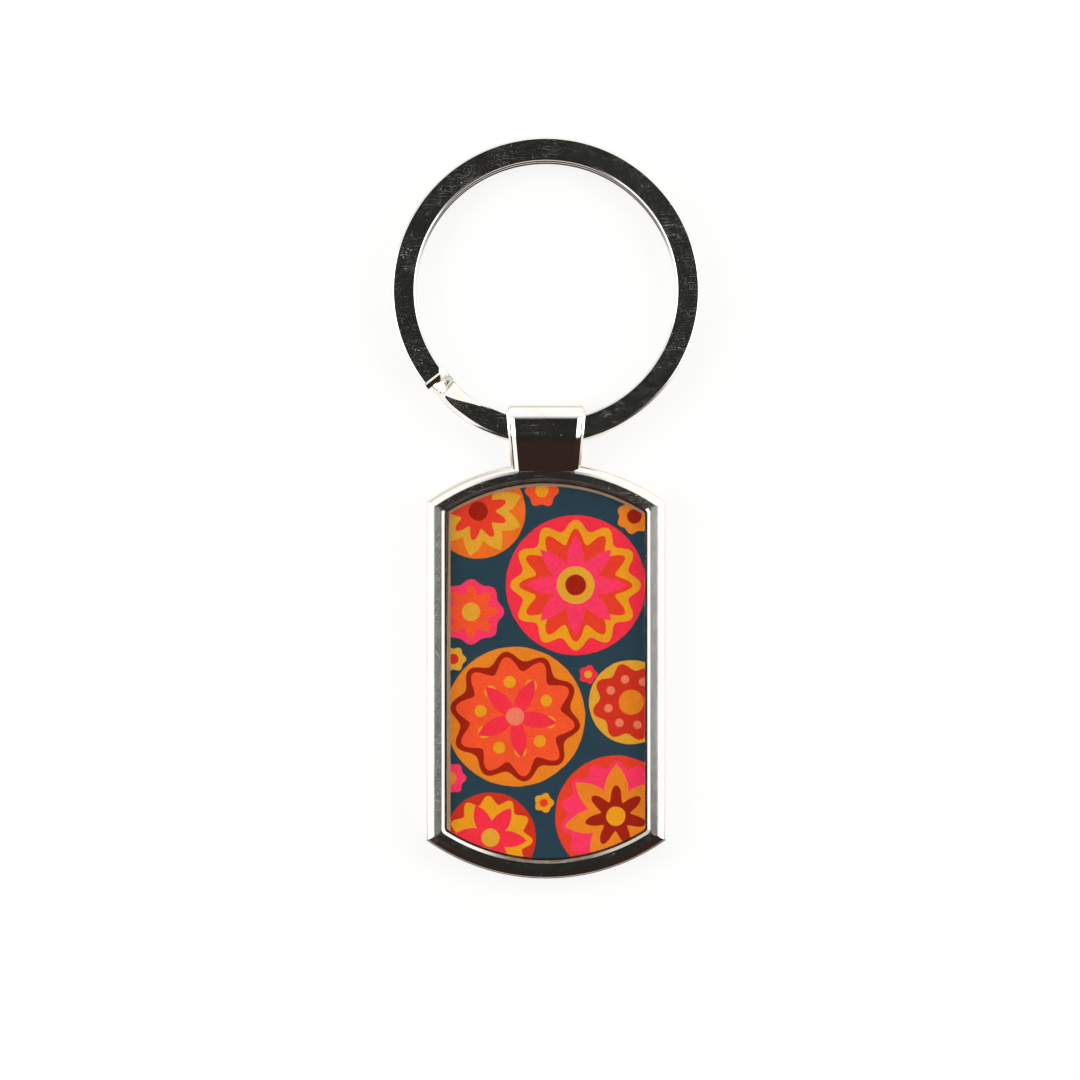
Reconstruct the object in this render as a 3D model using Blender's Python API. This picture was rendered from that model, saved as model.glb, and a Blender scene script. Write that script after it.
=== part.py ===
# Keyring: a cast metal case with a bail, a framed glass tile over a printed card, and a split ring.
# The keyring lies on its back. +Z points up out of the tile, +Y points to the split ring, and the
# origin is the centre of the case's flat back. All sizes are in metres.

import math

import bmesh
import bpy
import numpy

# Case: an outline with straight sides and arched ends, and a raised rim round a recess
CASE_WIDTH = 0.0233
CASE_SIDE_LENGTH = 0.0332
CASE_END_RADIUS = 0.0200
CASE_THICKNESS = 0.0040
BACK_BEVEL = 0.0003
RIM_ROUND_WIDTH = 0.00088
RIM_ROUND_HEIGHT = 0.0007
RIM_FLAT_WIDTH = 0.00054
LIP_BEVEL_WIDTH = 0.00036
LIP_BEVEL_HEIGHT = 0.00035

# Stack in the recess: an adhesive pad, a printed card and a glass tile, with a gap at each seat
SEAT_GAP = 0.0003
PAD_THICKNESS = 0.0002
PAD_SETBACK = 0.0008
CARD_THICKNESS = 0.0002
TILE_THICKNESS = 0.0011
TILE_EDGE_BEVEL = 0.0002
TILE_EDGE_CLEARANCE = 0.0003
TILE_DROP = 0.0003

# Split ring: two turns of a flat wire with rounded edges
RING_OUTER_DIAMETER = 0.0300
WIRE_WIDTH = 0.0023
WIRE_THICKNESS = 0.0011
WIRE_EDGE_ROUND = 0.00025
WIRE_END_CHAMFER = 0.0007
TURN_GAP = 0.00042

# Bail: a tapered loop cast in one with the case, which closes it on its fourth side
BAIL_WALL = 0.00075
BAIL_END_WIDTH = 0.0077
BAIL_ROOT_WIDTH = 0.0061
BAIL_ROOT_INSET = 0.0010
BAIL_BEND_REACH = 0.00205
BAIL_ROLL_RADIUS = 0.00175
BAIL_HEEL_RADIUS = 0.0012
BAIL_EDGE_BEVEL = 0.0005
BAIL_SUNK_DEPTH = 0.0002
RING_SETBACK = 0.0027
EYE_CLEARANCE = 0.0001
CUT_OVERRUN = 0.001

# Steps of the round forms, and the course of the ring's wire in steps of one turn
END_ARC_STEPS = 24
RIM_ROUND_STEPS = 4
BAIL_ARC_STEPS = 6
WIRE_CORNER_STEPS = 2
TURN_STEPS = 80
STEPS_SHORT_OF_TWO_TURNS = 8
RAMP_STEPS = 6
RAMP_LEAD_STEPS = 1
WIRE_START_ANGLE = math.radians(250.5)
SMOOTH_ANGLE = math.radians(28)

# Places on the case and in its recess
end_arc_rise = math.sqrt(CASE_END_RADIUS**2 - (CASE_WIDTH / 2) ** 2)
end_arc_centre = CASE_SIDE_LENGTH / 2 - end_arc_rise
case_end = end_arc_centre + CASE_END_RADIUS
recess_inset = RIM_ROUND_WIDTH + RIM_FLAT_WIDTH + LIP_BEVEL_WIDTH
tile_inset = recess_inset + TILE_EDGE_CLEARANCE
tile_top = CASE_THICKNESS - TILE_DROP
tile_base = tile_top - TILE_THICKNESS
card_base = tile_base - SEAT_GAP - CARD_THICKNESS
pad_base = card_base - SEAT_GAP - PAD_THICKNESS
recess_floor = pad_base - SEAT_GAP

# Sizes of the ring
outer_radius = RING_OUTER_DIAMETER / 2
mean_radius = outer_radius - WIRE_WIDTH / 2
turn_pitch = WIRE_THICKNESS + TURN_GAP
stack_height = turn_pitch + WIRE_THICKNESS

# The ring swings about a line through the middle of its wire in the bail's eye. At the bail's sides the
# ring has bowed away from that line, and the eye clears the corners of its wire there at every angle.
wire_bow = mean_radius - math.sqrt(mean_radius**2 - (BAIL_END_WIDTH / 2) ** 2)
corner_along = WIRE_WIDTH / 2 - WIRE_EDGE_ROUND + wire_bow
corner_across = stack_height / 2 - WIRE_EDGE_ROUND
eye_reach = math.hypot(corner_along, corner_across) + WIRE_EDGE_ROUND + EYE_CLEARANCE
pivot_y = case_end + RING_SETBACK
pivot_z = BAIL_WALL + eye_reach
bail_end = pivot_y + eye_reach + BAIL_WALL
bail_top = pivot_z + eye_reach + BAIL_WALL
bail_bend = case_end + BAIL_BEND_REACH
bail_root = case_end - BAIL_ROOT_INSET
bail_slope = math.atan2(bail_top - CASE_THICKNESS, bail_bend - bail_root)

# At rest the ring leans from the eye down to the surface that the case lies on
ring_far_reach = RING_OUTER_DIAMETER - WIRE_WIDTH / 2
ring_tilt = math.asin((pivot_z - stack_height / 2) / ring_far_reach)


def clear_scene():
    for old_object in list(bpy.data.objects):
        bpy.data.objects.remove(old_object, do_unlink=True)


def make_material(name, colour, roughness, metallic=0.0, transmission=0.0):
    material = bpy.data.materials.new(name)
    material.use_nodes = True
    material.diffuse_color = (*colour, 1.0)
    shader = material.node_tree.nodes["Principled BSDF"]
    shader.inputs["Base Color"].default_value = (*colour, 1.0)
    shader.inputs["Roughness"].default_value = roughness
    shader.inputs["Metallic"].default_value = metallic
    shader.inputs["Transmission Weight"].default_value = transmission
    return material


def make_object(name, bm, material=None):
    bmesh.ops.recalc_face_normals(bm, faces=bm.faces)
    mesh = bpy.data.meshes.new(name)
    bm.to_mesh(mesh)
    bm.free()
    mesh.shade_smooth()
    mesh.set_sharp_from_angle(angle=SMOOTH_ANGLE)
    piece = bpy.data.objects.new(name, mesh)
    bpy.context.scene.collection.objects.link(piece)
    if material:
        mesh.materials.append(material)
    return piece


# A form that shapes another piece and isn't a piece itself
def make_guide(name, bm):
    guide = make_object(name, bm)
    guide.hide_render = True
    guide.display_type = "WIRE"
    return guide


def combine(piece, guide, operation):
    boolean = piece.modifiers.new(guide.name, "BOOLEAN")
    boolean.object = guide
    boolean.operation = operation
    boolean.solver = "EXACT"


# Points of an arc in a plane, from one angle to another
def arc_points(centre, radius, start, end, steps):
    points = []
    for step in range(steps + 1):
        angle = start + (end - start) * step / steps
        points.append((centre[0] + radius * math.cos(angle), centre[1] + radius * math.sin(angle)))
    return points


# A closed body through a row of loops with like corners, capped at both ends. Each loop lists its points.
def skin_loops(rows):
    bm = bmesh.new()
    loops = [[bm.verts.new(point) for point in row] for row in rows]
    for lower, upper in zip(loops, loops[1:]):
        for corner in range(len(lower)):
            bm.faces.new((lower[corner - 1], lower[corner], upper[corner], upper[corner - 1]))
    bm.faces.new(loops[0])
    bm.faces.new(loops[-1])
    return bm


# The case's outline moved inwards by an inset, with sharp corners where the arched ends meet the sides
def case_outline(inset):
    radius = CASE_END_RADIUS - inset
    sweep = math.asin((CASE_WIDTH / 2 - inset) / radius)
    upright = math.pi / 2
    far_end = arc_points((0, end_arc_centre), radius, upright - sweep, upright + sweep, END_ARC_STEPS)
    near_end = [(-x, -y) for x, y in far_end]
    return far_end + near_end


# A solid with the case's outline, from stations of inset and height
def outline_solid(stations):
    return skin_loops([[(x, y, height) for x, y in case_outline(inset)] for inset, height in stations])


# The cast body: bevelled back, upright side, rounded rim with a flat and a lip, and the recess
def case_body():
    shoulder = CASE_THICKNESS - RIM_ROUND_HEIGHT
    stations = [(BACK_BEVEL, 0), (0, BACK_BEVEL)]
    for step in range(RIM_ROUND_STEPS + 1):
        angle = math.pi / 2 * step / RIM_ROUND_STEPS
        inset = RIM_ROUND_WIDTH * (1 - math.cos(angle))
        stations.append((inset, shoulder + RIM_ROUND_HEIGHT * math.sin(angle)))
    stations.append((RIM_ROUND_WIDTH + RIM_FLAT_WIDTH, CASE_THICKNESS))
    stations.append((recess_inset, CASE_THICKNESS - LIP_BEVEL_HEIGHT))
    stations.append((recess_inset, recess_floor))
    return outline_solid(stations)


# A thin sheet cut to the case's outline
def sheet(inset, base, thickness):
    return outline_solid([(inset, base), (inset, base + thickness)])


# The glass tile, with a polished bevel round its face
def glass_tile():
    stations = [
        (tile_inset, tile_base),
        (tile_inset, tile_top - TILE_EDGE_BEVEL),
        (tile_inset + TILE_EDGE_BEVEL, tile_top),
    ]
    return outline_solid(stations)


# The bail's side view in y and z, moved inwards by an inset. Its back is flush with the case's back, its
# end rolls over to a flat face, and the face bends down to the rim. The root is sunk in the case.
def bail_profile(inset):
    end = bail_end - inset
    top = bail_top - inset
    bend = bail_bend + inset * math.tan(bail_slope / 2)
    sunk = bail_root - BAIL_SUNK_DEPTH + inset
    heel = BAIL_HEEL_RADIUS - inset
    roll = BAIL_ROLL_RADIUS - inset
    upright = math.pi / 2
    points = [(sunk, inset)]
    points += arc_points((end - heel, inset + heel), heel, -upright, 0, BAIL_ARC_STEPS)
    points += arc_points((end - roll, top - roll), roll, 0, upright, BAIL_ARC_STEPS)
    points.append((bend, top))
    points.append((sunk, top - (bend - sunk) * math.tan(bail_slope)))
    return points


# The bail is widest at its end and tapers to its root
def bail_half_width(y):
    share = (y - bail_root) / (bail_end - bail_root)
    return (BAIL_ROOT_WIDTH + (BAIL_END_WIDTH - BAIL_ROOT_WIDTH) * share) / 2


# The bail's block, whose side edges are bevelled all round
def bail_block():
    rows = []
    for side, inset in ((-1, BAIL_EDGE_BEVEL), (-1, 0), (1, 0), (1, BAIL_EDGE_BEVEL)):
        setback = BAIL_EDGE_BEVEL - inset
        rows.append([(side * (bail_half_width(y) - setback), y, z) for y, z in bail_profile(inset)])
    return skin_loops(rows)


# The eye is cut right through from side to side, one wall's thickness inside the bail's profile
def bail_eye():
    reach = BAIL_END_WIDTH / 2 + CUT_OVERRUN
    return skin_loops([[(side * reach, y, z) for y, z in bail_profile(BAIL_WALL)] for side in (-1, 1)])


# One section of the ring's wire. The ring's origin is the swing line, which its wire crosses in the eye.
def wire_section(angle, height, width):
    corner_x = width / 2 - WIRE_EDGE_ROUND
    corner_z = WIRE_THICKNESS / 2 - WIRE_EDGE_ROUND
    middle = outer_radius - width / 2
    section = []
    for corner, (side_x, side_z) in enumerate(((1, 1), (-1, 1), (-1, -1), (1, -1))):
        centre = (middle + side_x * corner_x, height + side_z * corner_z)
        start = corner * math.pi / 2
        section += arc_points(centre, WIRE_EDGE_ROUND, start, start + math.pi / 2, WIRE_CORNER_STEPS)
    sine = math.sin(angle)
    cosine = math.cos(angle)
    return [(x * cosine, mean_radius + x * sine, z) for x, z in section]


# The wire's height after a number of steps: the lower turn, a smooth ramp and the upper turn
def wire_height(step):
    ramp_end = TURN_STEPS - RAMP_LEAD_STEPS
    share = (step - ramp_end + RAMP_STEPS) / RAMP_STEPS
    share = min(max(share, 0), 1)
    return turn_pitch * (share**2 * (3 - 2 * share) - 1 / 2)


def split_ring_sections():
    last_step = 2 * TURN_STEPS - STEPS_SHORT_OF_TWO_TURNS
    step_angle = 2 * math.pi / TURN_STEPS
    end_angle = WIRE_START_ANGLE + last_step * step_angle
    chamfer_angle = WIRE_END_CHAMFER / mean_radius
    end_width = WIRE_WIDTH - WIRE_END_CHAMFER
    sections = [wire_section(WIRE_START_ANGLE - chamfer_angle, wire_height(0), end_width)]
    for step in range(last_step + 1):
        sections.append(wire_section(WIRE_START_ANGLE + step * step_angle, wire_height(step), WIRE_WIDTH))
    sections.append(wire_section(end_angle + chamfer_angle, wire_height(last_step), end_width))
    return sections


# The least distance between points of the wire that lie more than half a turn apart
def least_turn_gap(sections):
    points = numpy.array(sections)
    half_turn = TURN_STEPS // 2
    least = math.inf
    for step in range(len(points) - half_turn):
        later = points[step + half_turn :].reshape(-1, 3)
        spread = numpy.linalg.norm(points[step][:, None] - later[None], axis=2)
        least = min(least, float(spread.min()))
    return least


clear_scene()

chrome = make_material("chrome", (0.80, 0.79, 0.77), 0.06, metallic=1.0)
adhesive = make_material("adhesive", (0.85, 0.84, 0.80), 0.6)
print_ink = make_material("print_ink", (0.75, 0.16, 0.05), 0.55)
glass = make_material("glass", (0.95, 0.97, 0.97), 0.02, transmission=1.0)

case = make_object("case", case_body(), chrome)
bail = make_guide("bail_form", bail_block())
eye = make_guide("eye_form", bail_eye())
combine(bail, eye, "DIFFERENCE")
combine(case, bail, "UNION")

make_object("adhesive_pad", sheet(tile_inset + PAD_SETBACK, pad_base, PAD_THICKNESS), adhesive)
make_object("printed_card", sheet(tile_inset, card_base, CARD_THICKNESS), print_ink)
make_object("glass_tile", glass_tile(), glass)

ring_sections = split_ring_sections()
ring = make_object("split_ring", skin_loops(ring_sections), chrome)
ring.location = (0, pivot_y, pivot_z)
ring.rotation_euler = (-ring_tilt, 0, 0)

print(f"split ring: least gap between its turns {least_turn_gap(ring_sections):.6f} m")
print(f"swing line at y {pivot_y:.6f} m, z {pivot_z:.6f} m, ring leaning {math.degrees(ring_tilt):.3f} degrees")
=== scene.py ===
import math

import bmesh
import bpy
from mathutils import Matrix, Vector


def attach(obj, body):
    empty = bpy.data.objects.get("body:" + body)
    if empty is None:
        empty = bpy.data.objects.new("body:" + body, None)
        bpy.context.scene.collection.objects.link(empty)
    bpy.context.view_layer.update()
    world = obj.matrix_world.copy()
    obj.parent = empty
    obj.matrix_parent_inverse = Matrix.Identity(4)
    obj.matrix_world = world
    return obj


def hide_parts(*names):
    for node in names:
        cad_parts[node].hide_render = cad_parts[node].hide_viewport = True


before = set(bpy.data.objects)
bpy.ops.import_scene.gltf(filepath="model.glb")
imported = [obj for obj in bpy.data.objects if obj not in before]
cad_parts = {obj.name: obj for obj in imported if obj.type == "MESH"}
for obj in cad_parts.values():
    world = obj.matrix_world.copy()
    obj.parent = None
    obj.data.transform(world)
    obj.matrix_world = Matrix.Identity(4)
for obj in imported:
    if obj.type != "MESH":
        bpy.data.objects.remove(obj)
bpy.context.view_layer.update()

print("frame loaded:", ", ".join(sorted(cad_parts)))

millimetre = 0.001
worldScene = bpy.context.scene


# A shader socket that takes part in sums. Each operation adds its Math node.
class Strand:
    def __init__(self, bench, socket):
        self.bench = bench
        self.socket = socket

    def reckon(self, operation, *others):
        return self.bench.make("ShaderNodeMath", {"operation": operation}, dict(enumerate((self, *others))))

    def __add__(self, other):
        return self.reckon("ADD", other)

    def __sub__(self, other):
        return self.reckon("SUBTRACT", other)

    def __mul__(self, other):
        return self.reckon("MULTIPLY", other)

    def __truediv__(self, other):
        return self.reckon("DIVIDE", other)

    def __rsub__(self, other):
        return self.bench.number(other).reckon("SUBTRACT", self)

    __radd__ = __add__
    __rmul__ = __mul__

    def least(self, other):
        return self.reckon("MINIMUM", other)

    def most(self, other):
        return self.reckon("MAXIMUM", other)

    # 0 below the low value, 1 above the high one and a soft step between them
    def rise(self, low, high):
        settings = {"interpolation_type": "SMOOTHSTEP", "clamp": True}
        return self.bench.make("ShaderNodeMapRange", settings, {"Value": self, "From Min": low, "From Max": high})

    # 0 to 1 goes to another span, straight
    def span(self, low, high):
        return self * (high - low) + low


# Makes the nodes of one material or world
class Bench:
    def __init__(self, tree):
        self.tree = tree
        tree.nodes.clear()

    # kind of node, settings that are set first, socket values or links, and the output that is wanted
    def make(self, kind, settings, sockets, output=0):
        node = self.tree.nodes.new(kind)
        for name, value in settings.items():
            setattr(node, name, value)
        for name, value in sockets.items():
            if isinstance(value, Strand):
                self.tree.links.new(value.socket, node.inputs[name])
            elif value is not None:
                node.inputs[name].default_value = value
        return Strand(self, node.outputs[output]) if len(node.outputs) else node

    def number(self, value):
        return self.make("ShaderNodeMath", {"operation": "ADD"}, {0: value, 1: 0.0})

    def place(self):
        return self.make("ShaderNodeTexCoord", {}, {}, "Object")

    def parts(self, vector):
        node = self.make("ShaderNodeSeparateXYZ", {}, {"Vector": vector}).socket.node
        return [Strand(self, socket) for socket in node.outputs]

    # Noise with grains of about that size in metres
    def noise(self, place, grain, detail=2.0, roughness=0.5, output="Fac"):
        sockets = {"Vector": place, "Scale": 1 / grain, "Detail": detail, "Roughness": roughness}
        return self.make("ShaderNodeTexNoise", {}, sockets, output)

    # Distance from the nearest of many scattered points, in shares of their spacing in metres
    def specks(self, place, spacing):
        sockets = {"Vector": place, "Scale": 1 / spacing, "Randomness": 1.0}
        return self.make("ShaderNodeTexVoronoi", {}, sockets, "Distance")

    def stretched(self, place, scale):
        return self.make("ShaderNodeMapping", {}, {"Vector": place, "Scale": scale})

    def blend(self, share, first, second):
        sockets = {0: share, 6: first, 7: second}
        return self.make("ShaderNodeMix", {"data_type": "RGBA"}, sockets, 2)

    def vectors(self, operation, first, second):
        return self.make("ShaderNodeVectorMath", {"operation": operation}, {0: first, 1: second})

    def bump(self, height, depth, normal=None):
        sockets = {"Height": height, "Distance": depth, "Strength": 1.0, "Normal": normal}
        return self.make("ShaderNodeBump", {}, sockets)

    def light(self, ray):
        return self.make("ShaderNodeLightPath", {}, {}, ray)

    def surface(self, shader):
        self.make("ShaderNodeOutputMaterial", {}, {"Surface": shader})


def newMaterial(name):
    material = bpy.data.materials.new(name)
    material.use_nodes = True
    return material, Bench(material.node_tree)


# One part of a colour, from how a screen shows it to how a shader takes it
def linearPart(part):
    share = part / 255
    return ((share + 0.055) / 1.055) ** 2.4 if part > 10 else share / 12.92


def colour(red, green, blue):
    return (linearPart(red), linearPart(green), linearPart(blue), 1.0)


# Case: sizes in millimetres. The shift is along y, and each drop is measured down from the top.
case = {
    "width": 23.3,
    "sideLength": 32.96,
    "shift": -0.12,
    "endRadius": 20.0,
    "arcSteps": 72,
    "thickness": 4.0,
    "backBevel": 0.3,
    "roundWidth": 0.94,
    "roundHeight": 0.7,
    "roundSteps": 10,
    "flatDrop": 0.028,
    "flatWidth": 0.57,
    "lipWidth": 0.28,
    "lipDrop": 0.275,
    "recessFloor": 1.3,
    "cornerSoftness": 0.05,
    "lipCornerSoftness": 0.26,
    "sharpAngle": 22,
}
endArcRise = math.sqrt(case["endRadius"] ** 2 - (case["width"] / 2) ** 2)
endArcCentre = case["sideLength"] / 2 - endArcRise
recessInset = case["roundWidth"] + case["flatWidth"] + case["lipWidth"]

# Studio: a camera straight above in a white surround, with places and sizes in millimetres. Dark parts of the
# surround are the gap overhead, as wide across and along as its half angles, and the near side, between two
# bearings in degrees. Pairs named Bearing, Foot and Top are the directions between which a part comes in.
studio = {
    "cameraPlace": (-0.58, 12.6, 400.0),
    "frameWidth": 105.2,
    "frameHeight": 3.0,
    "sensor": 36.0,
    "clip": (0.01, 20),
    "capAcross": 8.4,
    "capAlong": 33.1,
    "capSoftness": 0.3,
    "capShift": (0.3, 7.1),
    "capFoot": (0, 0.1),
    "capColour": (0.019, 0.019, 0.017, 1),
    "nearBearings": (233.5, 331.0),
    "nearSoftness": 1.5,
    "nearFoot": (-0.03, 0.03),
    "nearColour": (0.034, 0.018, 0.014, 1),
    "sideColour": (1.12, 1.11, 1.08, 1),
    "farBearing": (0.62, 0.8),
    "farColour": (1.12, 1.10, 1.05, 1),
    "farLowBearing": (0.92, 0.985),
    "farLowFoot": (0.05, 0.075),
    "farLowTop": (0.125, 0.15),
    "farLowColour": (0.21, 0.14, 0.105, 1),
    "cardBearing": (1.05, 1.3),
    "cardFoot": (0.02, 0.1),
    "cardTop": (0.2, 0.9),
    "cardColour": (0.66, 0.62, 0.54, 1),
    "lampTarget": (0, 12, 0),
    "lamps": [
        ("lampLeft", (-520, 60, 430), 420, 1.7),
        ("lampRight", (520, 60, 430), 420, 1.7),
    ],
}

# Floor: what metal mirrors of it has its own colours, with painted shade in them: greyer far off, tan along the
# case's outline, dark on its near side and close inside the ring's far side. Pairs are the distances between which a
# part comes in.
pale = {
    "size": 6000.0,
    "colour": (0.95, 0.94, 0.92, 1),
    "lift": 0.8,
    "liftFade": (90, 220),
    "mirrorLift": 0.55,
    "mirrorColour": (0.99, 0.97, 0.92, 1),
    "distantShadeFade": (70, 160),
    "distantShadeColour": (0.52, 0.50, 0.46, 1),
    "rimShadeReach": (0.5, 2.0),
    "rimShadeColour": (0.62, 0.47, 0.35, 1),
    "nearShadeStart": (17, 19),
    "nearShadeEnd": (30, 60),
    "nearColour": (0.07, 0.05, 0.045, 1),
    "ringCentre": 36.88,
    "ringShadeInner": (9.0, 11.6),
    "ringShadeOuter": (12.9, 13.1),
    "ringShadeSide": (2, 7),
}


def makeCamera():
    cameraData = bpy.data.cameras.new("camera")
    camera = bpy.data.objects.new("camera", cameraData)
    worldScene.collection.objects.link(camera)
    camera.location = Vector(studio["cameraPlace"]) * millimetre
    cameraData.sensor_width = studio["sensor"]
    distance = studio["cameraPlace"][2] - studio["frameHeight"]
    cameraData.lens = studio["sensor"] * distance / studio["frameWidth"]
    cameraData.clip_start, cameraData.clip_end = studio["clip"]
    worldScene.camera = camera


def makeLamps():
    target = Vector(studio["lampTarget"]) * millimetre
    for name, place, size, strength in studio["lamps"]:
        lampData = bpy.data.lights.new(name, "AREA")
        lampData.shape = "SQUARE"
        lampData.size = size * millimetre
        lampData.energy = strength
        lamp = bpy.data.objects.new(name, lampData)
        worldScene.collection.objects.link(lamp)
        lamp.location = Vector(place) * millimetre
        lamp.rotation_euler = (target - lamp.location).to_track_quat("-Z", "Y").to_euler()


def makeWorld():
    world = bpy.data.worlds.new("softStudio")
    world.use_nodes = True
    worldScene.world = world
    bench = Bench(world.node_tree)
    across, along, up = bench.parts(bench.make("ShaderNodeTexCoord", {}, {}, "Generated"))
    level = (across * across + along * along).reckon("SQRT").most(0.0001)  # isn't 0 overhead
    far = (along / level).rise(*studio["farBearing"])
    farLow = (along / level).rise(*studio["farLowBearing"])
    farLow = farLow * up.rise(*studio["farLowFoot"]) * (1 - up.rise(*studio["farLowTop"]))
    card = ((along - across) / level).rise(*studio["cardBearing"])
    card = card * (1 - up.rise(*studio["cardTop"])) * up.rise(*studio["cardFoot"])
    firstBearing, lastBearing = (math.radians(bearing) for bearing in studio["nearBearings"])
    middle = (firstBearing + lastBearing) / 2
    reach = (lastBearing - firstBearing) / 2
    soft = math.radians(studio["nearSoftness"])
    near = (across * math.cos(middle) + along * math.sin(middle)) / level
    near = near.rise(math.cos(reach + soft), math.cos(reach - soft)) * up.rise(*studio["nearFoot"])
    shiftAcross, shiftAlong = (math.sin(math.radians(shift)) for shift in studio["capShift"])
    capAcross = (across + shiftAcross) * (1 / math.sin(math.radians(studio["capAcross"])))
    capAlong = (along + shiftAlong) * (1 / math.sin(math.radians(studio["capAlong"])))
    cap = (capAcross * capAcross + capAlong * capAlong).reckon("SQRT")
    cap = 1 - cap.rise(1 - studio["capSoftness"], 1 + studio["capSoftness"])
    cap = cap * up.rise(*studio["capFoot"])
    surround = bench.blend(far, studio["sideColour"], studio["farColour"])
    surround = bench.blend(card, surround, studio["cardColour"])
    surround = bench.blend(farLow, surround, studio["farLowColour"])
    surround = bench.blend(near, surround, studio["nearColour"])
    surround = bench.blend(cap, surround, studio["capColour"])
    surround = bench.blend(bench.light("Is Camera Ray"), surround, (1, 1, 1, 1))
    background = bench.make("ShaderNodeBackground", {}, {"Color": surround, "Strength": 1.0})
    bench.make("ShaderNodeOutputWorld", {}, {"Surface": background})


def makeFloor():
    bm = bmesh.new()
    bmesh.ops.create_grid(bm, x_segments=1, y_segments=1, size=pale["size"] * millimetre / 2)
    mesh = bpy.data.meshes.new("floor")
    bm.to_mesh(mesh)
    bm.free()
    floor = bpy.data.objects.new("floor", mesh)
    worldScene.collection.objects.link(floor)
    material, bench = newMaterial("paleFloor")
    across, along, _ = bench.parts(bench.vectors("MULTIPLY", bench.place(), (1000, 1000, 0)))
    reach = (across * across + along * along).reckon("SQRT")
    # How far outside the case a point of the floor lies
    side = across.reckon("ABSOLUTE") - case["width"] / 2
    arch = (along - case["shift"]).reckon("ABSOLUTE") - endArcCentre
    outside = side.most((across * across + arch * arch).reckon("SQRT") - case["endRadius"])
    # Painted shade: what metal mirrors of the floor turns greyer far from the case
    mirroredWithShade = bench.blend(reach.rise(*pale["distantShadeFade"]), pale["mirrorColour"], pale["distantShadeColour"])
    # Painted shade: a tan band along the case's outline, in what metal mirrors of the floor
    mirroredWithShade = bench.blend(1 - outside.rise(*pale["rimShadeReach"]), mirroredWithShade, pale["rimShadeColour"])
    # Painted shade: the floor on the case's near side is dark in what metal mirrors of it
    towards = 0 - along
    paintedNearShade = towards.rise(*pale["nearShadeStart"]) * (1 - towards.rise(*pale["nearShadeEnd"]))
    mirroredWithShade = bench.blend(paintedNearShade, mirroredWithShade, pale["nearColour"])
    # The floor close inside the ring's far side lies in its shade
    beyond = along - pale["ringCentre"]
    radius = (across * across + beyond * beyond).reckon("SQRT")
    shaded = radius.rise(*pale["ringShadeInner"]) * (1 - radius.rise(*pale["ringShadeOuter"]))
    shaded = shaded * beyond.rise(*pale["ringShadeSide"])
    mirroredWithShade = bench.blend(shaded, mirroredWithShade, pale["nearColour"])
    inMetal = bench.light("Is Glossy Ray")
    matt = bench.make("ShaderNodeBsdfDiffuse", {}, {"Color": bench.blend(inMetal, pale["colour"], mirroredWithShade)})
    glow = bench.blend(inMetal, (1, 1, 1, 1), mirroredWithShade)
    glow = bench.make("ShaderNodeEmission", {}, {"Color": glow, "Strength": 1.0})
    seen = bench.light("Is Camera Ray") + bench.light("Is Transmission Ray")
    seen = seen * reach.rise(*pale["liftFade"]).span(pale["lift"], 1.0) + inMetal * pale["mirrorLift"]
    bench.surface(bench.make("ShaderNodeMixShader", {}, {0: seen, 1: matt, 2: glow}))
    mesh.materials.append(material)


makeCamera()
makeLamps()
makeWorld()
makeFloor()
worldScene.view_settings.view_transform = "Standard"
print("studio ready")


# Plated metal: mirror bright, with soft waves and streaks from polishing, fine mottling, pits and worn spots.
# Sizes and depths are in millimetres, and the rest are shares.
plating = {
    "case": {"tint": (0.93, 0.92, 0.90, 1), "haze": (0.88, 0.865, 0.83, 1), "smooth": 0.04, "mottle": 0.12,
             "worn": 0.22, "wave": 1.4, "waveDepth": 0.0022, "speck": 0.3, "streak": 0.16},
    "ring": {"tint": (0.92, 0.92, 0.90, 1), "haze": (0.84, 0.85, 0.80, 1), "smooth": 0.04, "mottle": 0.11,
             "worn": 0.26, "wave": 0.9, "waveDepth": 0.0022, "speck": 0.26, "streak": 0.06},
}
# Sizes of the marks that both platings share, and the noise values between which each comes in
marks = {
    "cloud": 3.2,
    "hazeFrom": (0.35, 0.75),
    "grain": 0.13,
    "grainFrom": (0.40, 0.70),
    "grainDepth": 0.0015,
    "patch": 1.7,
    "patchFrom": (0.38, 0.66),
    "speckPatch": 0.9,
    "speckPatchFrom": (0.58, 0.74),
    "speckEdge": (0.08, 0.2),
    "speckDepth": 0.003,
    "streakFrom": (0.52, 0.72),
    "streakPatchFrom": (0.4, 0.6),
    "streakStretch": (0.05, 1, 1),
    "streakDepthShare": 0.25,
    "worn": 0.7,
    "wornFrom": (0.58, 0.8),
    "softWearShare": 0.35,
    "roughest": 0.6,
}


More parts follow.
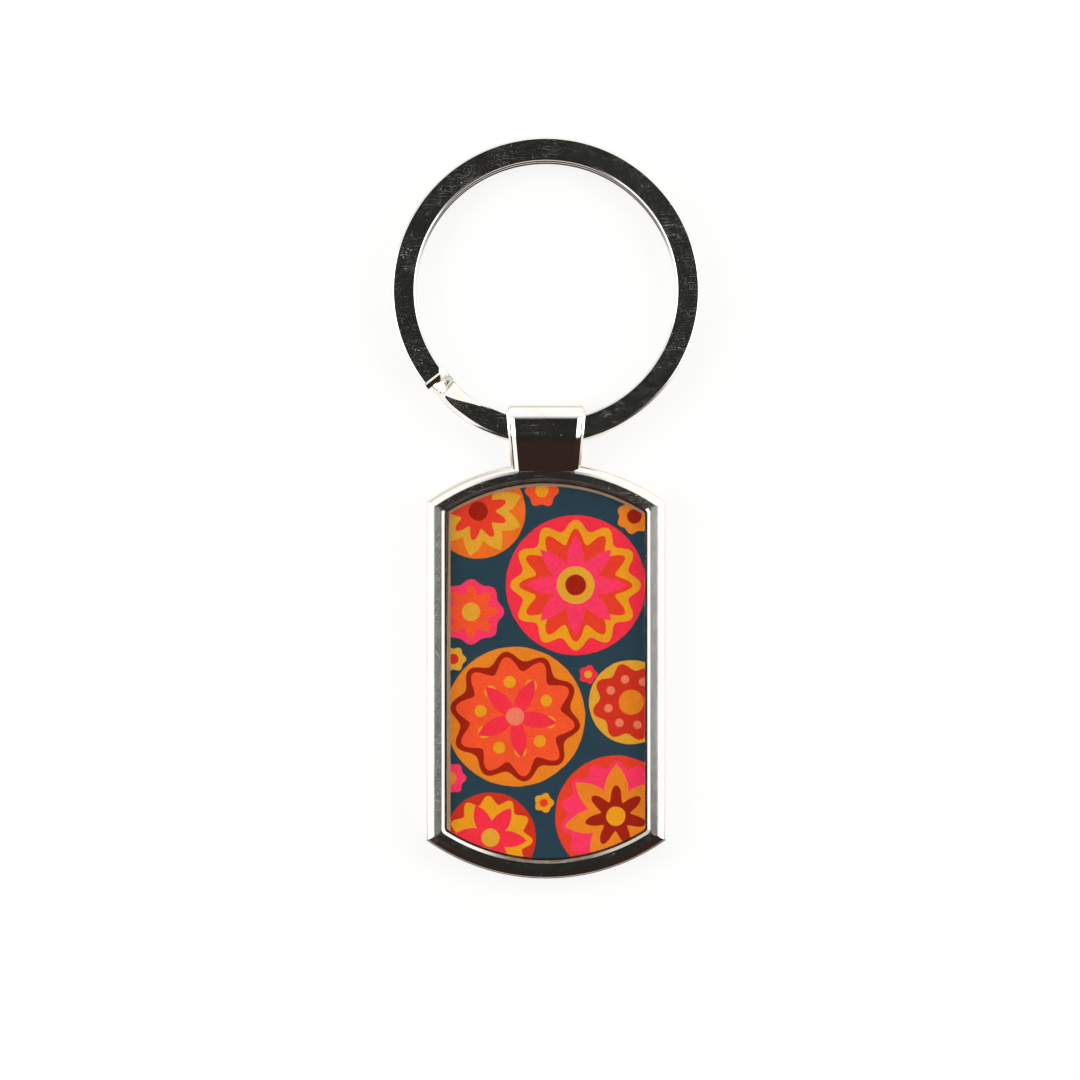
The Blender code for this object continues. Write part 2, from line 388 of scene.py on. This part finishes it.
def platedMaterial(name, finish):
    material, bench = newMaterial(name)
    place = bench.place()
    cloud = bench.noise(place, marks["cloud"] * millimetre, 3.0)
    grain = bench.noise(place, marks["grain"] * millimetre, 3.0, 0.6)
    patch = bench.noise(place, marks["patch"] * millimetre, 2.0).rise(*marks["patchFrom"])
    mottle = grain.rise(*marks["grainFrom"]) * patch.span(0.6, 1.0)
    speck = bench.specks(place, finish["speck"] * millimetre)
    speckOn = bench.noise(place, marks["speckPatch"] * millimetre, 1.0).rise(*marks["speckPatchFrom"])
    specks = (1 - speck.rise(*marks["speckEdge"])) * speckOn
    streaks = bench.noise(bench.stretched(place, marks["streakStretch"]), finish["streak"] * millimetre, 2.0)
    streaks = streaks.rise(*marks["streakFrom"]) * cloud.rise(*marks["streakPatchFrom"])
    worn = bench.noise(place, marks["worn"] * millimetre, 4.0, 0.6).rise(*marks["wornFrom"])
    softWear = finish["worn"] * marks["softWearShare"]
    rough = mottle * finish["mottle"] + finish["smooth"] + worn * softWear
    rough = (rough + specks * finish["worn"] + streaks * softWear).least(marks["roughest"])
    tint = bench.blend(cloud.rise(*marks["hazeFrom"]), finish["tint"], finish["haze"])
    waves = bench.noise(place, finish["wave"] * millimetre, 1.0)
    normal = bench.bump(waves, finish["waveDepth"] * millimetre)
    normal = bench.bump(grain, marks["grainDepth"] * millimetre, normal)
    pits = 0 - specks - streaks * marks["streakDepthShare"]
    normal = bench.bump(pits, marks["speckDepth"] * millimetre, normal)
    sockets = {"Base Color": tint, "Metallic": 1.0, "Roughness": rough, "Normal": normal}
    bench.surface(bench.make("ShaderNodeBsdfPrincipled", {}, sockets))
    return material


# Glass: clear, faintly green, with finger haze. Lamps and bounced light go straight through it.
glassLook = {"tint": (0.97, 0.985, 0.975, 1), "clear": (0.97, 0.98, 0.975, 1), "bend": 1.5, "haze": 0.035,
             "cloud": 4.5, "cloudFrom": (0.5, 0.72)}


def glassMaterial():
    material, bench = newMaterial("clearGlass")
    place = bench.place()
    cloud = bench.noise(place, glassLook["cloud"] * millimetre, 3.0)
    haze = cloud.rise(*glassLook["cloudFrom"]) * glassLook["haze"]
    sockets = {"Base Color": glassLook["tint"], "Roughness": haze, "IOR": glassLook["bend"],
               "Transmission Weight": 1.0}
    glass = bench.make("ShaderNodeBsdfPrincipled", {}, sockets)
    clear = bench.make("ShaderNodeBsdfTransparent", {}, {"Color": glassLook["clear"]})
    passing = bench.light("Is Shadow Ray").most(bench.light("Is Diffuse Ray"))
    bench.surface(bench.make("ShaderNodeMixShader", {}, {0: passing, 1: glass, 2: clear}))
    return material


# Bonding film: cloudy and a little fibrous
film = {"dull": (0.70, 0.68, 0.60, 1), "pale": (0.84, 0.82, 0.75, 1), "cloud": 1.6, "fibre": 0.12,
        "fibreDepth": 0.01, "roughness": (0.5, 0.7)}


def adhesiveMaterial():
    material, bench = newMaterial("bondingFilm")
    place = bench.place()
    cloud = bench.noise(place, film["cloud"] * millimetre, 4.0)
    tint = bench.blend(cloud, film["dull"], film["pale"])
    fibre = bench.noise(place, film["fibre"] * millimetre, 2.0)
    normal = bench.bump(fibre, film["fibreDepth"] * millimetre)
    sockets = {"Base Color": tint, "Roughness": cloud.span(*film["roughness"]), "Normal": normal}
    bench.surface(bench.make("ShaderNodeBsdfPrincipled", {}, sockets))
    return material


# Print inks, as they look on the card
ink = {
    "teal": colour(37, 60, 73),
    "flame": colour(228, 58, 36),
    "pink": colour(246, 53, 94),
    "orange": colour(229, 125, 31),
    "amber": colour(230, 150, 25),
    "mustard": colour(221, 156, 45),
    "tangerine": colour(230, 105, 30),
    "wine": colour(155, 28, 8),
    "brick": colour(205, 45, 28),
    "crimson": colour(240, 45, 65),
    "coral": colour(240, 80, 40),
    "salmon": colour(230, 120, 90),
}

# Cut glass canes of the print: place, radius and turn, in millimetres and degrees, and their layers from
# the outside in. A layer has its form, ink and share of the radius, and its lobes and their depth.
canes = [
    ((2.9, 8.2), 6.8, 0, [
        ("round", "crimson", 1.0), ("lobes", "amber", 0.86, 12, 0.075), ("lobes", "flame", 0.70, 12, 0.11),
        ("star", "pink", 0.52, 8, 0.20), ("round", "mustard", 0.27), ("round", "wine", 0.15)]),
    ((-3.0, -4.6), 6.8, 9, [
        ("round", "orange", 1.0), ("lobes", "wine", 0.87, 10, 0.07), ("lobes", "coral", 0.76, 10, 0.10),
        ("beads", "amber", 0.50, 10, 0.085), ("star", "crimson", 0.36, 5, 0.24), ("round", "salmon", 0.13)]),
    ((-6.6, 15.4), 4.6, 20, [
        ("round", "tangerine", 1.0), ("star", "mustard", 0.80, 9, 0.16), ("lobes", "flame", 0.50, 9, 0.12),
        ("round", "wine", 0.20)]),
    ((-7.3, 5.6), 3.2, 0, [
        ("lobes", "pink", 0.94, 8, 0.06), ("lobes", "coral", 0.68, 8, 0.13), ("round", "mustard", 0.28)]),
    ((6.8, -14.3), 5.9, 14, [
        ("round", "flame", 1.0), ("lobes", "pink", 0.86, 14, 0.06), ("star", "orange", 0.66, 7, 0.20),
        ("lobes", "wine", 0.38, 7, 0.13), ("round", "amber", 0.16)]),
    ((8.3, -3.2), 4.1, 30, [
        ("round", "mustard", 1.0), ("lobes", "brick", 0.84, 8, 0.09), ("beads", "salmon", 0.56, 8, 0.10),
        ("round", "orange", 0.30)]),
    ((-5.4, -16.4), 4.4, 5, [
        ("round", "brick", 1.0), ("lobes", "amber", 0.84, 11, 0.09), ("star", "crimson", 0.58, 6, 0.22),
        ("round", "mustard", 0.2)]),
    ((-0.4, 17.4), 1.6, 0, [("lobes", "coral", 0.94, 6, 0.10), ("round", "amber", 0.4)]),
    ((8.6, 14.9), 1.7, 0, [("lobes", "orange", 0.94, 7, 0.08), ("round", "wine", 0.42)]),
    ((-0.2, -13.0), 0.95, 0, [("lobes", "amber", 0.94, 5, 0.1), ("round", "flame", 0.42)]),
    ((4.1, -0.5), 0.9, 0, [("lobes", "crimson", 0.94, 5, 0.1), ("round", "mustard", 0.42)]),
    ((-9.0, 1.0), 1.2, 0, [("lobes", "mustard", 0.94, 6, 0.1), ("round", "brick", 0.42)]),
    ((-9.4, -10.6), 1.6, 0, [("lobes", "pink", 0.94, 7, 0.08), ("round", "orange", 0.42)]),
]
printLook = {
    "softness": 0.05,
    "wander": 0.16,
    "wanderGrain": 1.3,
    "paperGrain": 0.12,
    "grainShare": 0.32,
    "grainDepth": 0.003,
    "toneGrain": 2.4,
    "toneShare": 0.12,
    "gloss": 0.06,
    # where the ink stops, and where the rim's shade starts on the bare card and how much it leans
    "leftEdge": -9.3,
    "leftShade": -9.66,
    "shadeLean": 0.0125,
    "topRadius": 17.74,
    "bareCard": colour(178, 142, 112),
    "shadedCard": colour(66, 46, 36),
}


# How far a point is outside a layer's edge, in millimetres
def layerEdge(bench, form, distance, angle, radius, reach, lobes, depth):
    if form == "round":
        return distance - radius * reach
    if form == "beads":
        beadTurn = 2 * math.pi / lobes
        local = angle.reckon("WRAP", beadTurn / 2, -beadTurn / 2)
        sideways = distance * local.reckon("SINE")
        outwards = distance * local.reckon("COSINE") - radius * reach
        return (sideways * sideways + outwards * outwards).reckon("SQRT") - radius * depth
    wave = (angle * lobes).reckon("COSINE")
    if form == "star":
        wave = (angle * lobes).reckon("PINGPONG", math.pi) * (-2 / math.pi) + 1
    return distance - radius * reach - wave * (radius * depth)


def printMaterial():
    material, bench = newMaterial("canePrint")
    place = bench.place()
    offset = bench.noise(place, printLook["wanderGrain"] * millimetre, 3.0, 0.6, "Color")
    offset = bench.vectors("SUBTRACT", offset, (0.5, 0.5, 0.5))
    offset = bench.vectors("MULTIPLY", offset, (printLook["wander"],) * 3)
    flat = bench.vectors("ADD", bench.vectors("MULTIPLY", place, (1000, 1000, 0)), offset)
    across, along, _ = bench.parts(flat)
    paint = ink["teal"]
    soft = printLook["softness"]
    for (x, y), radius, turn, layers in canes:
        right = across - x
        up = along - y
        distance = (right * right + up * up).reckon("SQRT")
        angle = up.reckon("ARCTAN2", right) + math.radians(turn)
        for form, inkName, reach, *shape in layers:
            lobes, depth = shape or (0, 0)
            edge = layerEdge(bench, form, distance, angle, radius, reach, lobes, depth)
            paint = bench.blend(1 - edge.rise(-soft, soft), paint, ink[inkName])
    # The ink stops short of the card's left and top edges
    across, along, _ = bench.parts(bench.vectors("MULTIPLY", place, (1000, 1000, 0)))
    arch = along - (endArcCentre + case["shift"])
    arch = (across * across + arch * arch).reckon("SQRT")
    topBare = arch.rise(printLook["topRadius"] - soft, printLook["topRadius"] + soft) * along.rise(0, 1)
    leftBare = across.rise(printLook["leftEdge"] + soft, printLook["leftEdge"] - soft)
    paint = bench.blend(topBare.most(leftBare), paint, printLook["bareCard"])
    inwards = across - along.most(0) * printLook["shadeLean"]
    leftShade = inwards.rise(printLook["leftShade"] + soft, printLook["leftShade"] - soft)
    paint = bench.blend(leftShade, paint, printLook["shadedCard"])
    tone = bench.noise(place, printLook["toneGrain"] * millimetre, 4.0)
    tone = tone.span(1 - printLook["toneShare"], 1 + printLook["toneShare"])
    paper = bench.noise(place, printLook["paperGrain"] * millimetre, 2.0)
    grain = paper.span(1 - printLook["grainShare"], 1 + printLook["grainShare"])
    shade = tone * grain
    paint = bench.vectors("MULTIPLY", paint, bench.make("ShaderNodeCombineXYZ", {}, {0: shade, 1: shade, 2: shade}))
    normal = bench.bump(paper, printLook["grainDepth"] * millimetre)
    sockets = {"Base Color": paint, "Roughness": grain * 0.5, "Normal": normal,
               "Specular IOR Level": printLook["gloss"]}
    bench.surface(bench.make("ShaderNodeBsdfPrincipled", {}, sockets))
    return material


caseMaterial = platedMaterial("caseChrome", plating["case"])
ringMaterial = platedMaterial("ringChrome", plating["ring"])
print("materials ready")


# Shades a bmesh in millimetres smooth, with its large faces kept flat, and gives it back as a mesh in metres.
# The shading is weighed by area before the scaling, as the areas are too small for it afterwards.
def shadedMesh(name, bm, sharpAngle):
    rough = bpy.data.meshes.new(name + "Rough")
    bm.to_mesh(rough)
    bm.free()
    rough.shade_smooth()
    rough.set_sharp_from_angle(angle=math.radians(sharpAngle))
    carrier = bpy.data.objects.new(name + "Rough", rough)
    worldScene.collection.objects.link(carrier)
    weighted = carrier.modifiers.new("evenShading", "WEIGHTED_NORMAL")
    weighted.keep_sharp = True
    weighted.weight = 100
    weighted.thresh = 0.0001
    depsgraph = bpy.context.evaluated_depsgraph_get()
    mesh = bpy.data.meshes.new_from_object(carrier.evaluated_get(depsgraph), preserve_all_data_layers=True,
                                           depsgraph=depsgraph)
    bpy.data.objects.remove(carrier)
    bpy.data.meshes.remove(rough)
    mesh.name = name
    mesh.transform(Matrix.Scale(millimetre, 4))
    return mesh


# Puts a finished bmesh in the scene as a piece that rides on a body and replaces a CAD node
def addPiece(name, bm, material, body, node, sharpAngle=35):
    mesh = shadedMesh(name, bm, sharpAngle)
    mesh.materials.append(material)
    piece = bpy.data.objects.new(name, mesh)
    worldScene.collection.objects.link(piece)
    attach(piece, body)
    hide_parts(node)
    print("piece", name, "has", len(mesh.polygons), "faces")


# Radius and half the sweep of an arched end, moved inwards by an inset
def endArc(inset):
    radius = case["endRadius"] - inset
    return radius, math.asin((case["width"] / 2 - inset) / radius)


# The case's outline as one flat face, moved inwards by an inset
def outlineFace(bm, inset, height):
    radius, halfTurn = endArc(inset)
    corner = bm.verts.new((radius * math.sin(halfTurn), endArcCentre + radius * math.cos(halfTurn), height))
    bmesh.ops.spin(bm, geom=[corner], cent=(0, endArcCentre, height), axis=(0, 0, 1), angle=2 * halfTurn,
                   steps=case["arcSteps"])
    copied = bmesh.ops.duplicate(bm, geom=bm.verts[:] + bm.edges[:])["geom"]
    turnedVerts = [part for part in copied if isinstance(part, bmesh.types.BMVert)]
    bmesh.ops.rotate(bm, verts=turnedVerts, cent=(0, 0, 0), matrix=Matrix.Rotation(math.pi, 3, "Z"))
    ends = [vert for vert in bm.verts if len(vert.link_edges) == 1]
    for side in (-1, 1):
        bm.edges.new([vert for vert in ends if vert.co.x * side > 0])
    face = bmesh.ops.edgenet_fill(bm, edges=bm.edges[:])["faces"][0]
    if face.normal.z < 0:
        face.normal_flip()
    return face


# Extrudes a face that has the outline at one inset to the outline at another, so the mitres stay true
def stepFace(bm, face, fromInset, toInset, height):
    raised = bmesh.ops.extrude_face_region(bm, geom=[face, *face.edges, *face.verts])["geom"]
    face = [part for part in raised if isinstance(part, bmesh.types.BMFace)][0]
    radius, halfTurn = endArc(toInset)
    shrink = halfTurn / endArc(fromInset)[1]
    for vert in face.verts:
        end = math.copysign(1, vert.co.y)
        angle = math.atan2(vert.co.x, abs(vert.co.y) - endArcCentre) * shrink
        vert.co = (radius * math.sin(angle), end * (endArcCentre + radius * math.cos(angle)), height)
    return face


# Softens the edges that run up the case's four corners: a little outside, and more at the lip and below
def softenCorners(bm):
    longEdges = [edge for edge in bm.edges if edge.calc_length() > case["sideLength"] * 0.8]
    cornerVerts = {vert for edge in longEdges for vert in edge.verts}
    mitres = [edge for edge in bm.edges if edge not in longEdges and all(v in cornerVerts for v in edge.verts)]
    flatEnd = case["width"] / 2 - case["roundWidth"] - case["flatWidth"]
    inner = [edge for edge in mitres if all(abs(vert.co.x) < flatEnd + 0.01 for vert in edge.verts)]
    outer = [edge for edge in mitres if edge not in inner]
    for edges, offset, segments in ((inner, case["lipCornerSoftness"], 5), (outer, case["cornerSoftness"], 2)):
        edges = [edge for edge in edges if edge.is_valid]
        bmesh.ops.bevel(bm, geom=edges, offset=offset, affect="EDGES", segments=segments, profile=0.5, material=-1,
                        clamp_overlap=True)


def caseBody():
    top = case["thickness"]
    shoulder = top - case["roundHeight"]
    stations = [(0, shoulder)]
    for step in range(1, case["roundSteps"] + 1):
        angle = math.pi / 2 * step / case["roundSteps"]
        height = (case["roundHeight"] - case["flatDrop"]) * math.sin(angle)
        stations.append((case["roundWidth"] * (1 - math.cos(angle)), shoulder + height))
    stations.append((case["roundWidth"] + case["flatWidth"], top))
    stations.append((recessInset, top - case["lipDrop"]))
    stations.append((recessInset, case["recessFloor"]))
    bm = bmesh.new()
    face = outlineFace(bm, 0, 0)
    lastInset = 0
    for inset, height in stations:
        face = stepFace(bm, face, lastInset, inset, height)
        lastInset = inset
    base = [edge for edge in bm.edges if all(vert.co.z < 0.001 for vert in edge.verts)]
    bmesh.ops.bevel(bm, geom=base, offset=case["backBevel"], affect="EDGES", segments=5, profile=0.5, material=-1)
    softenCorners(bm)
    bmesh.ops.translate(bm, verts=bm.verts[:], vec=(0, case["shift"], 0))
    return bm


# Bail: sizes in millimetres
bail = {
    "endWidth": 7.8,
    "rootWidth": 6.7,
    "top": 5.7856,
    "end": 25.81,
    "shoulder": 24.65,
    "shoulderSlope": 29.0,
    "bend": 22.393,
    "root": 19.343,
    "sunk": 0.2,
    "slope": 30.34,
    "shoulderSoftness": 0.45,
    "rollSoftness": 0.5,
    "heelRadius": 1.2,
    "bendSoftness": 0.35,
    # depths below the outer face, and how far the sides are set back there
    "sideSteps": [(0.20, 0.33), (0.203, 0.21), (0.75, 0.0)],
    "chamferWidth": 0.37,
    "chamferEnd": 24.76,
    "chamferFade": 0.45,
}


# The bail's side view as one face in the y-z plane, with its corners rounded
def bailSide(bm):
    sunk = bail["root"] - bail["sunk"]
    fall = (bail["bend"] - sunk) * math.tan(math.radians(bail["slope"]))
    shoulderFall = (bail["end"] - bail["shoulder"]) * math.tan(math.radians(bail["shoulderSlope"]))
    corners = [(sunk, 0), (bail["end"], 0), (bail["end"], bail["top"] - shoulderFall),
               (bail["shoulder"], bail["top"]), (bail["bend"], bail["top"]), (sunk, bail["top"] - fall)]
    verts = [bm.verts.new((0, y, z)) for y, z in corners]
    bm.faces.new(verts)
    softened = ((verts[1], "heelRadius", 12), (verts[2], "rollSoftness", 10), (verts[3], "shoulderSoftness", 8),
                (verts[4], "bendSoftness", 4))
    for vert, size, segments in softened:
        bmesh.ops.bevel(bm, geom=[vert], offset=bail[size], affect="VERTICES", segments=segments, profile=0.5,
                        material=-1)
    return bm.faces[:][0]


# The chamfer along the top runs out where the roll begins
def chamferWidth(along):
    endShare = min(max((bail["chamferEnd"] - along) / bail["chamferFade"], 0.05), 1)
    return bail["chamferWidth"] * endShare


def bailBody():
    bm = bmesh.new()
    eye = bailSide(bm)
    ledge = bail["sideSteps"][0][1]
    # How far each vertex is set back from the bail's side, by its place in the side view
    setbacks = {vert.co.to_tuple(4): ledge + chamferWidth(vert.co.y) for vert in eye.verts}
    lastDepth = 0
    for depth, setback in bail["sideSteps"]:
        bmesh.ops.inset_region(bm, faces=[eye], thickness=depth - lastDepth, use_boundary=True, use_even_offset=True)
        setbacks.update({vert.co.to_tuple(4): setback for vert in eye.verts})
        lastDepth = depth
    bmesh.ops.delete(bm, geom=[eye], context="FACES_ONLY")
    raised = bmesh.ops.extrude_face_region(bm, geom=bm.faces[:])["geom"]
    farVerts = {part for part in raised if isinstance(part, bmesh.types.BMVert)}
    for vert in bm.verts:
        # The bail is widest at its end
        share = (vert.co.y - bail["root"]) / (bail["end"] - bail["root"])
        width = bail["rootWidth"] + (bail["endWidth"] - bail["rootWidth"]) * share
        halfWidth = width / 2 - setbacks[vert.co.to_tuple(4)]
        vert.co.x = halfWidth * (1 if vert in farVerts else -1)
    bmesh.ops.recalc_face_normals(bm, faces=bm.faces[:])
    return bm


def joinBodies(first, second):
    carriers = []
    for name, bm in (("caseRough", first), ("bailRough", second)):
        rough = bpy.data.meshes.new(name)
        bm.to_mesh(rough)
        bm.free()
        carrier = bpy.data.objects.new(name, rough)
        worldScene.collection.objects.link(carrier)
        carriers.append(carrier)
    union = carriers[0].modifiers.new("union", "BOOLEAN")
    union.object = carriers[1]
    union.operation = "UNION"
    union.solver = "EXACT"
    joined = bmesh.new()
    joined.from_object(carriers[0], bpy.context.evaluated_depsgraph_get())
    for carrier in carriers:
        rough = carrier.data
        bpy.data.objects.remove(carrier)
        bpy.data.meshes.remove(rough)
    return joined


caseBm = joinBodies(caseBody(), bailBody())
addPiece("case_casting", caseBm, caseMaterial, "fob", "case", case["sharpAngle"])

# Stack in the recess: insets and heights in millimetres
stack = {
    "tileInset": 2.01,
    "tileBase": 2.6,
    "tileTop": 3.7,
    "tileBevel": 0.03,
    "cardInset": 2.01,
    "cardBase": 2.1,
    "cardTop": 2.56,
    "cornerSoftness": 0.22,
}


def slab(inset, base, top):
    bm = bmesh.new()
    face = outlineFace(bm, inset, base)
    stepFace(bm, face, inset, inset, top)
    longEdges = [edge for edge in bm.edges if edge.calc_length() > case["sideLength"] * 0.8]
    cornerVerts = {vert for edge in longEdges for vert in edge.verts}
    corners = [edge for edge in bm.edges if edge not in longEdges and all(v in cornerVerts for v in edge.verts)]
    bmesh.ops.bevel(bm, geom=corners, offset=stack["cornerSoftness"], affect="EDGES", segments=5, profile=0.5,
                    material=-1)
    bmesh.ops.translate(bm, verts=bm.verts[:], vec=(0, case["shift"], 0))
    return bm


tileBm = slab(stack["tileInset"], stack["tileBase"], stack["tileTop"])
tileRim = [edge for edge in tileBm.edges if all(vert.co.z > stack["tileTop"] - 0.001 for vert in edge.verts)]
bmesh.ops.bevel(tileBm, geom=tileRim, offset=stack["tileBevel"], affect="EDGES", segments=3, profile=0.5, material=-1)
addPiece("tile_clear", tileBm, glassMaterial(), "fob", "glass_tile")

cardBm = slab(stack["cardInset"], stack["cardBase"], stack["cardTop"])
addPiece("card_with_canes", cardBm, printMaterial(), "fob", "printed_card")

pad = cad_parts["adhesive_pad"]
pad.data.materials.clear()
pad.data.materials.append(adhesiveMaterial())

# Split ring: sizes in millimetres and degrees. The wire is swept round the z axis, and then moved so that its
# middle at the bail lies on the pivot and it leans down to its far side.
ring = {
    "outerDiameter": 29.98,
    "wireWidth": 2.3,
    "wireThickness": 1.26,
    "stackHeight": 2.62,
    "edgeRound": 0.20,
    "start": 250.5,
    "turns": 2 * 360 - 36,
    "stepAngle": 1.0,
    # the ramp has finer steps, between two angles
    "rampStep": 0.25,
    "ramp": (210, 250.4),
    # where the wire climbs to its upper turn, as start, end and share of the climb
    "climbs": [(218.4, 226.9, 0.94), (224.0, 246.0, 0.06)],
    # angle, how far the wire is pushed in, how far its top edge is pushed in as well, where the crease in its
    # top lies from the middle, and how far the part inside the crease leans, in degrees
    "joggle": [(211.0, 0.0, 0.0, 0.9, 0.0), (218.0, 0.30, 0.10, 0.85, 8.0), (221.7, 0.30, 0.25, 0.78, 15.0),
               (226.3, 0.12, 0.52, 0.50, 24.0), (230.0, 0.04, 0.34, 0.09, 24.0), (232.6, 0.02, 0.27, -0.20, 22.0),
               (237.0, 0.01, 0.17, -0.62, 18.0), (239.0, 0.0, 0.12, -0.75, 15.0), (243.5, 0.0, 0.03, -0.95, 9.0),
               (248.0, 0.0, 0.0, -1.0, 0.0), (262.0, 0.0, 0.0, 0.0, 0.0)],
    # the table's bends are softened by a mean over these angles
    "joggleSpread": (-1.6, -0.8, 0, 0.8, 1.6),
    # the cut end: length of each step, and its share of the width and of the thickness before it
    "endSteps": [(0.45, 1, 1), (0.35, 0.86, 1), (0.17, 0.97, 0.75), (0.40, 0.9, 0.66)],
    "startSoftness": 0.18,
    "pivot": (0, 23.0427, 2.8928),
    "tilt": 3.145,
    "sharpAngle": 13,
}


# How far the wire has climbed, in millimetres, at an angle round the ring
def wireRise(angle):
    climbed = 0
    for start, end, share in ring["climbs"]:
        done = min(max((angle - 360 - start) / (end - start), 0), 1)
        climbed += share * done**2 * (3 - 2 * done)
    return (ring["stackHeight"] - ring["wireThickness"]) * climbed


# The joggle's four measures at an angle, straight between the rows of its table
def joggleAt(angle):
    rows = ring["joggle"]
    if not rows[0][0] < angle < rows[-1][0]:
        return 0, 0, 0, 0
    after = next(index for index, row in enumerate(rows) if row[0] >= angle)
    before, beyond = rows[after - 1], rows[after]
    share = (angle - before[0]) / (beyond[0] - before[0])
    return [low + (high - low) * share for low, high in zip(before[1:], beyond[1:])]


def wireJoggle(angle):
    samples = [joggleAt(angle - 360 + spread) for spread in ring["joggleSpread"]]
    return [sum(values) / len(samples) for values in zip(*samples)]


# Sets a section of the wire, whose vertices keep their plain place across and up the wire
def shapeSection(verts, across, upward, turn, meanRadius, low, angle):
    halfWidth = ring["wireWidth"] / 2
    pushed, topPushed, crease, lean = wireJoggle(angle)
    outerEdge = halfWidth - topPushed
    for vert in verts:
        plain = vert[across]
        height = vert[upward] / ring["wireThickness"] + 0.5
        share = plain / halfWidth
        top = crease + share * (outerEdge - crease) if share > 0 else crease + share * (crease + halfWidth)
        aside = plain + (top - plain) * height
        drop = height * max(crease - aside, 0) * math.tan(math.radians(lean))
        radius = meanRadius + aside - pushed
        vert.co = (radius * math.cos(turn), radius * math.sin(turn), low + wireRise(angle) + vert[upward] - drop)


def ringWire():
    bm = bmesh.new()
    across = bm.verts.layers.float.new("across")
    upward = bm.verts.layers.float.new("upward")
    meanRadius = (ring["outerDiameter"] - ring["wireWidth"]) / 2
    halfWidth = ring["wireWidth"] / 2
    halfThick = ring["wireThickness"] / 2
    low = halfThick - ring["stackHeight"] / 2
    corners = [(-halfWidth, -halfThick), (halfWidth, -halfThick), (halfWidth, halfThick), (-halfWidth, halfThick)]
    section = [bm.verts.new((meanRadius + x, 0, low + z)) for x, z in corners]
    bm.faces.new(section)
    bmesh.ops.bevel(bm, geom=section, offset=ring["edgeRound"], affect="VERTICES", segments=8, profile=0.5,
                    material=-1)
    topEdge = max(bm.edges, key=lambda edge: (edge.verts[0].co.z + edge.verts[1].co.z, edge.calc_length()))
    bmesh.ops.subdivide_edges(bm, edges=[topEdge], cuts=3)
    for vert in bm.verts:
        vert[across] = vert.co.x - meanRadius
        vert[upward] = vert.co.z - low
    toStart = Matrix.Rotation(math.radians(ring["start"]), 3, "Z")
    bmesh.ops.rotate(bm, verts=bm.verts[:], cent=(0, 0, 0), matrix=toStart)
    geom = bm.faces[:]
    startEdges = bm.edges[:]
    angle = ring["start"]
    while angle < ring["start"] + ring["turns"]:
        inRamp = ring["ramp"][0] < angle - 360 < ring["ramp"][1]
        stepAngle = ring["rampStep"] if inRamp else ring["stepAngle"]
        geom = bmesh.ops.spin(bm, geom=geom, cent=(0, 0, 0), axis=(0, 0, 1), angle=math.radians(stepAngle),
                              steps=1)["geom_last"]
        angle += stepAngle
        sectionVerts = [part for part in geom if isinstance(part, bmesh.types.BMVert)]
        shapeSection(sectionVerts, across, upward, math.radians(angle), meanRadius, low, angle)
    # The last end is cut: its inner corner is clipped, and its face slopes down to the wire below
    turn = math.radians(angle)
    base = low + ring["stackHeight"] - ring["wireThickness"] - halfThick
    for length, widthShare, thickShare in ring["endSteps"]:
        geom = bmesh.ops.spin(bm, geom=geom, cent=(0, 0, 0), axis=(0, 0, 1), angle=length / meanRadius,
                              steps=1)["geom_last"]
        turn += length / meanRadius
        sectionVerts = [part for part in geom if isinstance(part, bmesh.types.BMVert)]
        heel = Matrix.Rotation(turn, 4, "Z") @ Matrix.Translation((ring["outerDiameter"] / 2, 0, base))
        bmesh.ops.scale(bm, verts=sectionVerts, vec=(widthShare, 1, thickShare), space=heel.inverted())
    bmesh.ops.bevel(bm, geom=startEdges, offset=ring["startSoftness"], affect="EDGES", segments=3, profile=0.5,
                    material=-1)
    bm.verts.layers.float.remove(bm.verts.layers.float["across"])
    bm.verts.layers.float.remove(bm.verts.layers.float["upward"])
    bmesh.ops.recalc_face_normals(bm, faces=bm.faces[:])
    bmesh.ops.translate(bm, verts=bm.verts[:], vec=(0, meanRadius, 0))
    lean = Matrix.Rotation(-math.radians(ring["tilt"]), 3, "X")
    bmesh.ops.rotate(bm, verts=bm.verts[:], cent=(0, 0, 0), matrix=lean)
    bmesh.ops.translate(bm, verts=bm.verts[:], vec=ring["pivot"])
    return bm


addPiece("ring_wire", ringWire(), ringMaterial, "ring", "split_ring", ring["sharpAngle"])
